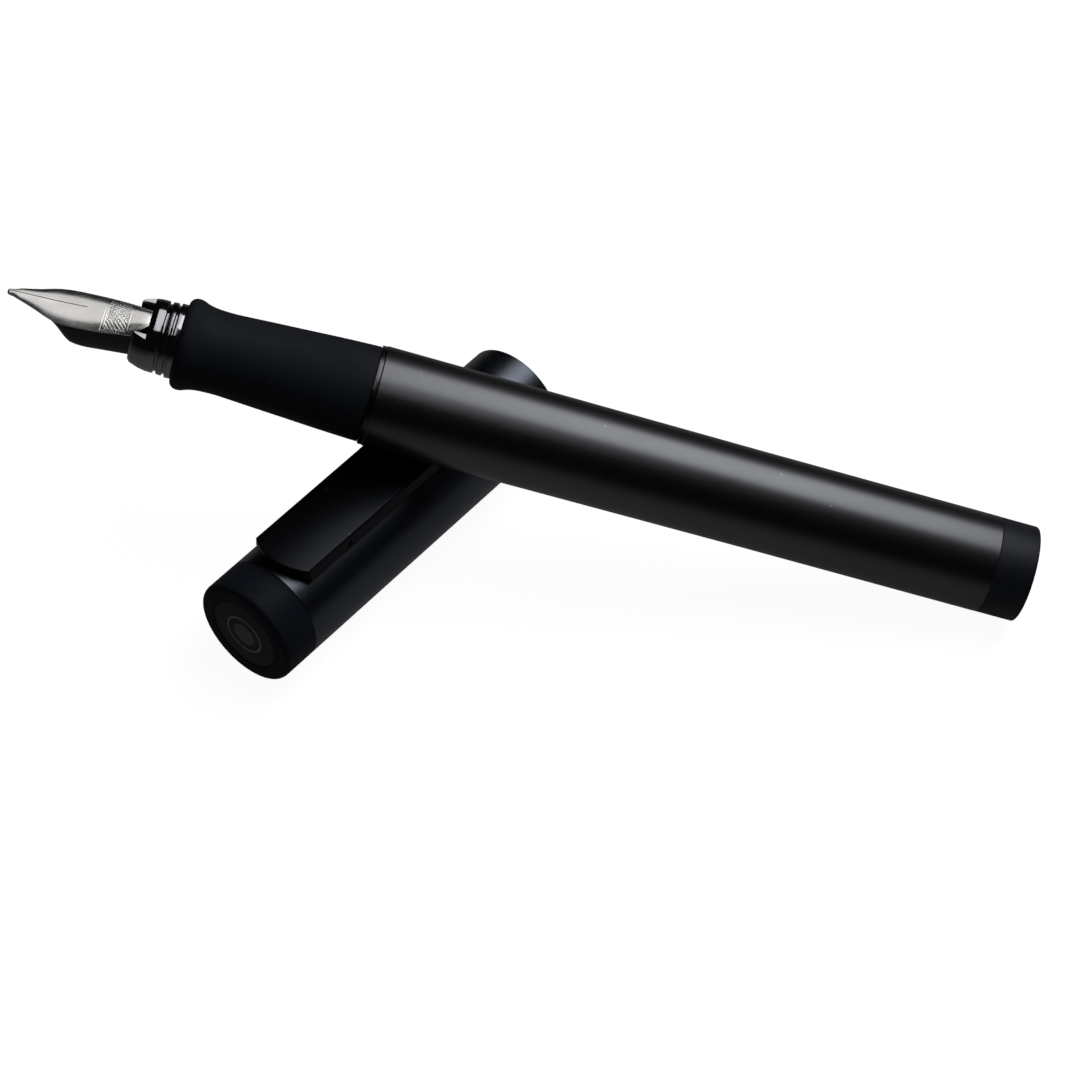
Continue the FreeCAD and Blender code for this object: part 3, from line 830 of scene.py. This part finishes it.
# --- section ------------------------------------------------------------------------------------------
def build_ring():
    start, end, outer = reach("seam_ring", PEN)
    inner = 4.33
    shape = lathe(soften([
        (start, inner),
        (start, outer, 0.05),
        (end, outer, 0.05),
        (end, inner),
    ]), 192)
    add_piece("seam_ring", shape, PEN, "ring", "ring_steel")


def build_core():
    start, end, _ = reach("section_core", PEN)
    bore = 3.5
    tube = 4.4
    flange = 5.2
    shoulder = -0.62
    crest = 4.25
    root = 3.92
    boss = [(x, crest) for x in spread(0.4, end - 0.4, 70)]

    def ridge(x, r, angle):
        if r != crest:
            return r
        fade = min(1.0, (x - 0.3) / 0.5, (end - x) / 0.6)
        return root + (crest - root) * thread(x, angle) * max(0.0, fade)

    outline = [(start, bore), (start, tube), (shoulder - 1.0, tube), (shoulder - 1.0, flange)]
    outline += [(shoulder, flange), (shoulder, root), (0.3, root)]
    outline += boss + [(end, root - 0.1), (end, bore)]
    shape = lathe(outline, 96, ridge)
    add_piece("section_core", shape, PEN, "section", "core_plastic", 40.0)


GRIP_PROFILE = [
    (-24.5, 4.80), (-24.46, 5.00), (-24.36, 5.22), (-24.18, 5.43), (-23.92, 5.60), (-23.60, 5.69),
    (-23.25, 5.70), (-22.90, 5.64), (-22.30, 5.42), (-21.60, 5.24), (-20.60, 5.12), (-19.00, 5.08),
    (-17.00, 5.17), (-14.00, 5.34), (-10.00, 5.55), (-6.00, 5.77), (-3.00, 5.90), (-1.20, 5.965),
    (-0.60, 5.975),
]


def build_grip():
    start, end, _ = reach("grip_sleeve", PEN)
    inner = 4.42
    recess = 5.22
    seat = -1.64
    skin = [(x, curve_through(GRIP_PROFILE, x)) for x in
            spread(-24.5, -24.0, 10) + spread(-23.9, -21.0, 20) + spread(-20.7, -0.72, 50)]
    outline = [(start, inner), (start, 4.70)] + skin
    outline += [(end - 0.05, 5.96), (end - 0.01, 5.93), (end, 5.88)]
    outline += [(end, recess), (seat, recess), (seat, inner)]
    shape = lathe(outline, 192)
    add_piece("grip_sleeve", shape, PEN, "section", "grip_rubber", 40.0)


NIB_END = -20.0
SLIT_END = -36.2
COLLAR_LINE = -28.4
NIB_WIDTH = [(-46.0, 0.03), (-45.93, 0.17), (-45.80, 0.27), (-45.55, 0.34), (-45.2, 0.42), (-44.5, 0.80),
             (-43.2, 1.28), (-42.0, 1.75), (-40.8, 2.28), (-39.6, 2.68), (-38.4, 2.86), (-37.2, 2.90),
             (-34.7, 2.85), (-31.5, 2.60), (-28.4, 2.28), (-20.0, 2.28)]
NIB_CREST = [(-46.0, 0.72), (-45.9, 0.90), (-45.6, 0.98), (-44.5, 1.10), (-42.0, 1.24), (-39.6, 1.40),
             (-37.2, 1.62), (-34.7, 1.94), (-31.5, 2.45), (-28.4, 2.88), (-20.0, 2.88)]
NIB_EDGE = [(-46.0, 0.70), (-45.9, 0.86), (-45.6, 0.92), (-44.5, 0.90), (-42.0, 0.80), (-39.6, 0.76),
            (-37.2, 0.92), (-34.7, 1.16), (-31.5, 1.52), (-28.4, 1.77), (-20.0, 1.77)]
NIB_SHEET = [(-46.0, 0.06), (-45.9, 0.36), (-45.6, 0.52), (-45.1, 0.46), (-44.3, 0.30), (-43.0, 0.28),
             (-20.0, 0.28)]


def nib_top(x, y):
    """Height of the nib's upper face."""
    width = curve_through(NIB_WIDTH, x)
    crest = curve_through(NIB_CREST, x)
    edge = curve_through(NIB_EDGE, x)
    share = min(1.0, abs(y) / max(width, 1e-6))
    return crest - (crest - edge) * share ** 2.3


def engraving(x, y):
    """Depth of a plain lattice band across the nib, and of two thin lines beside it."""
    depth = 0.0
    if ETCHED[0] < x < ETCHED[1] and abs(y) < 2.3:
        lattice = abs(math.sin(math.pi * (x + y) / 0.52)) * abs(math.sin(math.pi * (x - y) / 0.52))
        depth = 0.035 * (1 - lattice) ** 2
    for line in (-33.95, -30.75):
        depth = max(depth, 0.03 * max(0.0, 1 - abs(x - line) / 0.07))
    return depth


def build_nib():
    """Two halves of bent sheet, apart along the slit and welded together behind it."""
    tip, _, _ = reach("nib", PEN)
    rows = spread(tip, tip + 1.0, 12) + spread(tip + 1.15, -34.2, 60) + spread(-34.1, -30.5, 60)
    rows += spread(-30.2, NIB_END, 30)
    rows = sorted(rows + [SLIT_END - 0.05, SLIT_END])
    columns = 36
    verts = []
    faces = []

    def gap(x):
        if x >= SLIT_END:
            return 0.0
        return min(0.06, curve_through(NIB_WIDTH, x) * 0.4)

    for side in (-1, 1):
        base = len(verts)
        for x in rows:
            width = curve_through(NIB_WIDTH, x)
            sheet = curve_through(NIB_SHEET, x)
            g = gap(x)
            ys = [g + (width - g) * k / columns for k in range(columns + 1)]
            top = [(x, side * y, nib_top(x, y) - engraving(x, side * y)) for y in ys]
            inset = 0.03 if width > 0.3 else 0.0
            low = [(x, side * (y - 0.02), nib_top(x, y) - sheet) for y in ys[::-1]]
            low[0] = (x, side * (width - inset), nib_top(x, width) - sheet)
            low[-1] = (x, side * g, nib_top(x, g) - sheet)
            verts += top + low
        count = 2 * (columns + 1)
        for i in range(len(rows) - 1):
            open_centre = rows[i] < SLIT_END - 1e-6
            for j in range(count):
                n = (j + 1) % count
                if j == count - 1 and not open_centre:
                    continue
                faces.append((base + i * count + j, base + i * count + n,
                              base + (i + 1) * count + n, base + (i + 1) * count + j))
        for i in (0, len(rows) - 1):
            row = base + i * count
            for j in range(columns):
                faces.append((row + j, row + j + 1, row + count - 2 - j, row + count - 1 - j))
    mesh = make_mesh("nib", (verts, faces), PEN, weld=0.0008)
    add_piece("nib", mesh, PEN, "section", "nib_steel", 38.0)


FEED_WIDTH = [(-42.4, 0.55), (-41.8, 1.05), (-40.4, 1.70), (-38.5, 2.18), (-37.5, 2.30), (-29.0, 2.30)]
FEED_DEPTH = [(-42.4, 0.50), (-41.5, -0.15), (-39.6, -1.50), (-37.9, -3.50), (-37.2, -4.02), (-36.0, -4.18),
              (-33.0, -3.80), (-29.0, -3.20)]


def build_feed():
    start, end, _ = reach("feed", PEN)
    half = 24
    shank = 2.90
    shank_end = -15.6
    nipple = 1.60
    ink_hole = 0.5

    def keel_loop(x, shrink=0.0, slot_depth=0.0):
        """Section of the keel under the nib; slot_depth sinks a comb slot into its middle."""
        width = curve_through(FEED_WIDTH, x) - shrink
        depth = curve_through(FEED_DEPTH, x) + shrink
        sheet = curve_through(NIB_SHEET, x) + 0.02
        top = nib_top(x, width) - sheet
        under = []
        for k in range(half + 1):
            a = math.pi * k / half - math.pi / 2
            s, c = math.sin(a), math.cos(a)
            y = width * math.copysign(abs(s) ** 0.62, s)
            central = min(1.0, max(0.0, (0.62 - abs(y) / width) / 0.1))
            under.append((x, -y, top + (depth + central * slot_depth - top) * abs(c) ** 0.62))
        over = [(x, -width + 2 * width * k / half, nib_top(x, width * (2 * k / half - 1)) - sheet)
                for k in range(1, half)]
        return under + over

    def round_loop(x, radius):
        """Round section, cut down to fit under the nib ahead of the nib's end."""
        under = []
        for k in range(half + 1):
            a = math.pi * k / half - math.pi / 2
            under.append((x, -radius * math.sin(a), -radius * math.cos(a)))
        over = []
        for k in range(1, half):
            a = math.pi * k / half - math.pi / 2
            y = radius * math.sin(a)
            z = radius * math.cos(a)
            ceiling = nib_top(x, y) - 0.30 if abs(y) < 2.28 else 9.0
            over.append((x, y, min(z, ceiling) if x < NIB_END else z))
        return under + over

    loops = [keel_loop(start, 0.18), keel_loop(start + 0.05, 0.06)]
    loops += [keel_loop(x) for x in spread(start + 0.2, -36.6, 26)]
    fin = 0.30
    slots = 9
    for k in range(slots):
        x = -36.3 + k * 2 * fin
        loops += [keel_loop(x), keel_loop(x + fin)]
        loops += [keel_loop(x + fin + 0.02, 0.0, 0.55), keel_loop(x + 2 * fin - 0.02, 0.0, 0.55)]
    loops += [keel_loop(-30.3), keel_loop(-30.0), round_loop(-29.95, 2.86)]
    loops += [round_loop(x, shank) for x in (-29.0, -26.0, -23.0, NIB_END - 0.01, NIB_END, shank_end - 0.15)]
    loops += [round_loop(shank_end, shank - 0.15), round_loop(shank_end, nipple + 0.02)]
    for k in range(3):
        x = -14.6 + 2 * k
        loops += [round_loop(x - 0.3, nipple), round_loop(x - 0.2, nipple - 0.1)]
        loops += [round_loop(x + 0.2, nipple - 0.1), round_loop(x + 0.3, nipple)]
    loops += [round_loop(end - 0.35, nipple), round_loop(end, nipple - 0.35)]
    loops += [round_loop(end, ink_hole), round_loop(-12.0, ink_hole)]
    add_piece("feed", loft(loops), PEN, "section", "feed_plastic", 35.0)


def build_collar():
    front, end, _ = reach("nib_collar", PEN)
    grip = -24.52
    bore = 2.93
    shank = 3.48
    outline = soften([
        (front, bore, 0.05),
        (end, bore),
        (end, shank, 0.1),
        (grip, shank),
        (grip, 4.62, 0.08),
        (grip - 0.75, 4.66, 0.12),
        (grip - 0.85, 4.28, 0.05),
        (grip - 1.05, 4.28, 0.05),
        (grip - 1.15, 4.56, 0.12),
        (grip - 1.80, 4.52, 0.14),
        (grip - 1.92, 4.20, 0.05),
        (grip - 2.15, 4.20, 0.05),
        (grip - 2.25, 4.52, 0.16),
        (grip - 3.2, 4.50, 0.3),
        (grip - 4.1, 4.34, 0.6),
        (front + 0.30, 3.95, 0.3),
        (front, 3.60, 0.12),
    ], 6)
    mesh = make_mesh("nib_collar", lathe(outline, 144), PEN)
    for half_width, bottom in ((2.65, 0.0), (6.0, 2.7)):
        corners = [(front - 1, bottom), (COLLAR_LINE, bottom), (COLLAR_LINE, 6), (front - 1, 6)]
        opening = make_mesh("opening", slab(corners, -half_width, half_width), PEN)
        mesh = cut_or_join(mesh, opening, "DIFFERENCE")
    add_piece("nib_collar", mesh, PEN, "section", "smoky_gloss", 34.0, 0.05)


# --- converter ----------------------------------------------------------------------------------------
def build_converter_tube():
    start, end, outer = reach("converter_tube", PEN)
    seat = end - 3.0
    neck = -7.5
    neck_bore = 1.62
    bore = 2.85
    shape = lathe(soften([
        (start, neck_bore, 0.1),
        (neck, neck_bore),
        (neck, bore, 0.2),
        (end, bore),
        (end, outer - 0.28),
        (seat, outer - 0.28),
        (seat, outer, 0.05),
        (-8.6, outer, 0.1),
        (-8.9, outer - 0.12, 0.1),
        (-9.2, outer, 0.1),
        (start + 0.4, outer, 0.3),
        (start, outer - 0.4, 0.15),
    ]), 128)
    add_piece("converter_tube", shape, PEN, "section", "clear_plastic")


def build_converter_band():
    start, end, outer = reach("converter_band", PEN)
    rear = end - 2.8
    rod = 1.25
    inner = outer - 0.26
    guide = rear - 3.95
    outline = [(start, inner), (guide, inner), (guide, rod), (end, rod), (end, 1.95, 0.15)]
    outline += [(rear, 1.95), (rear, outer, 0.12)]
    for k in range(4):
        x = rear - 1.0 - k * 1.3
        outline += [(x, outer, 0.05), (x - 0.08, outer - 0.12, 0.03), (x - 0.24, outer - 0.12, 0.03)]
        outline += [(x - 0.32, outer, 0.05)]
    outline += [(start, outer, 0.08)]
    shape = lathe(soften(outline, 3), 128)
    add_piece("converter_band", shape, PEN, "section", "converter_metal")


def build_knob():
    start, end, outer = reach("converter_knob", PEN)
    flutes = 24
    fluted_from = start + 1.2
    fluted_to = start + 13.8

    def fluted(x, r, angle):
        if r < outer - 0.02 or not fluted_from < x < fluted_to:
            return r
        ease = min(1.0, (x - fluted_from) / 0.6, (fluted_to - x) / 0.6)
        return r - 0.16 * ease * (0.5 + 0.5 * math.cos(flutes * angle)) ** 2

    socket = 2.0
    socket_end = start + 2.8
    rod = 1.25
    rear = end - 0.9
    side = [(x, outer) for x in spread(fluted_from, fluted_to, 24)]
    outline = [(start, socket, 0.05), (socket_end, socket), (socket_end, rod), (rear, rod), (rear, 0)]
    outline += [(end, 0), (end, outer, 0.45), (start + 15.2, outer, 0.05), (start + 15.0, outer - 0.12, 0.04)]
    outline += [(start + 14.7, outer - 0.12, 0.04), (start + 14.5, outer, 0.05)]
    outline += side[::-1] + [(start, outer, 0.15)]
    shape = lathe(soften(outline, 4), 240, fluted)
    add_piece("converter_knob", shape, PEN, "knob", "knob_plastic", 38.0)


def build_rod():
    start, end, outer = reach("piston_rod", PEN)
    lead = 2.0
    screw_from = start + 6.0
    screw_to = end - 0.5
    body = [(x, outer) for x in spread(screw_from, screw_to, 220)]

    def screw(x, r, angle):
        if r < outer or not screw_from <= x <= screw_to:
            return r
        turn = (x / lead + angle / (2 * math.pi)) % 1.0
        return r - 0.18 * min(1.0, max(0.0, 3.2 * abs(turn - 0.5) - 0.4))

    outline = [(start, 0), (start, outer - 0.1), (start + 0.1, outer - 0.001), (start + 5.9, outer - 0.001)]
    outline += body + [(end - 0.1, outer - 0.2), (end, outer - 0.3), (end, 0)]
    add_piece("piston_rod", lathe(outline, 48, screw), PEN, "piston", "rod_plastic", 45.0)


def build_piston():
    start, end, outer = reach("piston_head", PEN)
    waist = outer - 0.45
    rod = 1.22
    rod_seat = start + 1.48
    shape = lathe(soften([
        (start, 0),
        (start, outer - 0.5, 0.1),
        (start + 0.4, outer, 0.12),
        (start + 1.2, outer, 0.1),
        (start + 1.6, waist, 0.2),
        (start + 2.4, waist, 0.1),
        (start + 2.6, outer - 0.15, 0.1),
        (start + 2.9, outer - 0.15, 0.1),
        (start + 3.1, waist, 0.1),
        (end - 1.4, waist, 0.15),
        (end - 1.0, outer, 0.1),
        (end, outer, 0.12),
        (end, rod),
        (rod_seat, rod),
        (rod_seat, 0),
    ]), 128)
    add_piece("piston_head", shape, PEN, "piston", "seal_plastic")


for build in (build_cap_tube, build_finial, build_finial_disc, build_inner_cap, build_clip, build_bracket,
              build_pin, build_spring, build_barrel, build_sleeve, build_plug, build_ring, build_core,
              build_grip, build_nib, build_feed, build_collar, build_converter_tube, build_converter_band,
              build_knob, build_rod, build_piston):
    build()


# --- floor, light and camera --------------------------------------------------------------------------
def floor_material():
    """Pale floor.  The camera sees it lit up to near white, with the shadows kept faint.  Every other ray sees it
    in a darker tone, a painted shade, and glowing near the pen, a painted pool of light that the pen reflects and
    is lit by.
    """
    g = Graph("floor")
    place = g.node("ShaderNodeTexCoord").outputs["Object"]
    cloud = g.node("ShaderNodeTexNoise", {"Vector": place, "Scale": 3.0, "Detail": 3.0}).outputs[0]
    # Painted shade: every ray but the camera's sees a darker floor tone than the camera does, which keeps the
    # floor dim in the pen's reflections and in bounced light.
    shaded_floor_tone = g.mix(cloud, grey(0.12), grey(0.14))
    seen = g.node("ShaderNodeLightPath").outputs["Is Camera Ray"]
    g.set(Base_Color=g.mix(seen, shaded_floor_tone, grey(0.25)), Roughness=0.8, Specular_IOR_Level=0.1)
    distance = g.node("ShaderNodeVectorMath", {"Vector": place}, operation="LENGTH").outputs["Value"]
    # Painted light: for every ray but the camera's the floor glows near its origin under the pen, fading out by 16
    # cm, a painted pool of light that the pen reflects along its lower sides.
    painted_light_pool = g.ramp(distance, 0.03, 0.16, 0.10, 0.0)
    mirrored = g.math("MULTIPLY", g.math("SUBTRACT", 1.0, seen), painted_light_pool)
    strength = g.math("ADD", g.math("MULTIPLY", seen, 0.95), mirrored)
    g.set(Emission_Color=(1.0, 1.0, 1.0, 1.0), Emission_Strength=strength)
    return g.material


def build_floor():
    low = cad_box[0].z
    size = 3.0
    verts = [(-size, -size, low), (size, -size, low), (size, size, low), (-size, size, low)]
    mesh = bpy.data.meshes.new("floor")
    mesh.from_pydata(verts, [], [(0, 1, 2, 3)])
    mesh.materials.append(floor_material())
    floor = bpy.data.objects.new("floor", mesh)
    bpy.context.scene.collection.objects.link(floor)


def heading(azimuth, elevation):
    """Unit vector towards an azimuth, clockwise from +Y, and an elevation above the horizon, in degrees."""
    a, e = math.radians(azimuth), math.radians(elevation)
    return Vector((math.sin(a) * math.cos(e), math.cos(a) * math.cos(e), math.sin(e)))


def around_pen(angle, lean):
    """Direction from the pen: angle 0 is on the camera's side, 90 overhead; lean is the share to the tail."""
    a = math.radians(angle)
    across = math.sqrt(1 - lean * lean)
    return PEN.to_3x3() @ Vector((lean, -math.cos(a) * across, math.sin(a) * across))


def add_light(name, towards, distance, size, radiance, only=None):
    """Rectangular soft light that faces the object; the first of its two sizes runs along the pen.

    only names a single piece that it falls on, like a card held close to it.
    """
    data = bpy.data.lights.new(name, "AREA")
    data.shape = "RECTANGLE"
    data.size, data.size_y = size
    data.energy = radiance * math.pi * size[0] * size[1]
    light = bpy.data.objects.new(name, data)
    bpy.context.scene.collection.objects.link(light)
    along = PEN.to_3x3() @ Vector((1, 0, 0))
    across = (along - towards * along.dot(towards)).normalized()
    turn = Matrix((across, towards.cross(across), towards)).transposed().to_4x4()
    centre = (cad_box[0] + cad_box[1]) / 2
    light.matrix_world = Matrix.Translation(centre + towards * distance) @ turn
    if only:
        lit = bpy.data.collections.new(name + "_falls_on")
        lit.objects.link(bpy.data.objects[only])
        light.light_linking.receiver_collection = lit


def build_lights():
    add_light("key_softbox", around_pen(111, 0.17), 0.60, (0.265, 0.56), 2.5)
    add_light("collar_strip", around_pen(101, -0.13), 0.60, (0.075, 0.92), 1.8)
    add_light("nib_card", around_pen(124, -0.36), 0.60, (0.34, 0.76), 0.95, "nib_look")


def build_world():
    """White backdrop for the camera, a dark studio for everything that is lit or mirrored by it."""
    world = bpy.data.worlds.new("studio")
    world.use_nodes = True
    tree = world.node_tree
    path = tree.nodes.new("ShaderNodeLightPath")
    strength = tree.nodes.new("ShaderNodeMapRange")
    strength.inputs["To Min"].default_value = 0.006
    strength.inputs["To Max"].default_value = 1.0
    tree.links.new(path.outputs["Is Camera Ray"], strength.inputs["Value"])
    background = tree.nodes["Background"]
    background.inputs["Color"].default_value = (1.0, 1.0, 1.0, 1.0)
    tree.links.new(strength.outputs[0], background.inputs["Strength"])
    bpy.context.scene.world = world


CAMERA_AZIMUTH = 52.11
CAMERA_ELEVATION = 49.28
CAMERA_ROLL = 1.57
CAMERA_DISTANCE = 0.410
CAMERA_LENS = 112.59
CAMERA_AIM = Vector((-21.57, -21.51, 6.77)) * MM      # from the centre of the cap's mouth


def build_camera():
    ahead = heading(CAMERA_AZIMUTH, -CAMERA_ELEVATION)
    right = ahead.cross(Vector((0, 0, 1))).normalized()
    up = right.cross(ahead)
    roll = math.radians(CAMERA_ROLL)
    rolled_right = right * math.cos(roll) + up * math.sin(roll)
    rolled_up = up * math.cos(roll) - right * math.sin(roll)
    data = bpy.data.cameras.new("camera")
    data.sensor_width = 36.0
    data.lens = CAMERA_LENS
    data.clip_start = 0.01
    data.clip_end = 20.0
    camera = bpy.data.objects.new("camera", data)
    bpy.context.scene.collection.objects.link(camera)
    aim = Vector(MOUNTS["cap_mouth"]["pos_m"]) + CAMERA_AIM
    turn = Matrix((rolled_right, rolled_up, -ahead)).transposed().to_4x4()
    camera.matrix_world = Matrix.Translation(aim - ahead * CAMERA_DISTANCE) @ turn
    bpy.context.scene.camera = camera


build_floor()
build_lights()
build_world()
build_camera()
bpy.context.scene.view_settings.view_transform = "Standard"
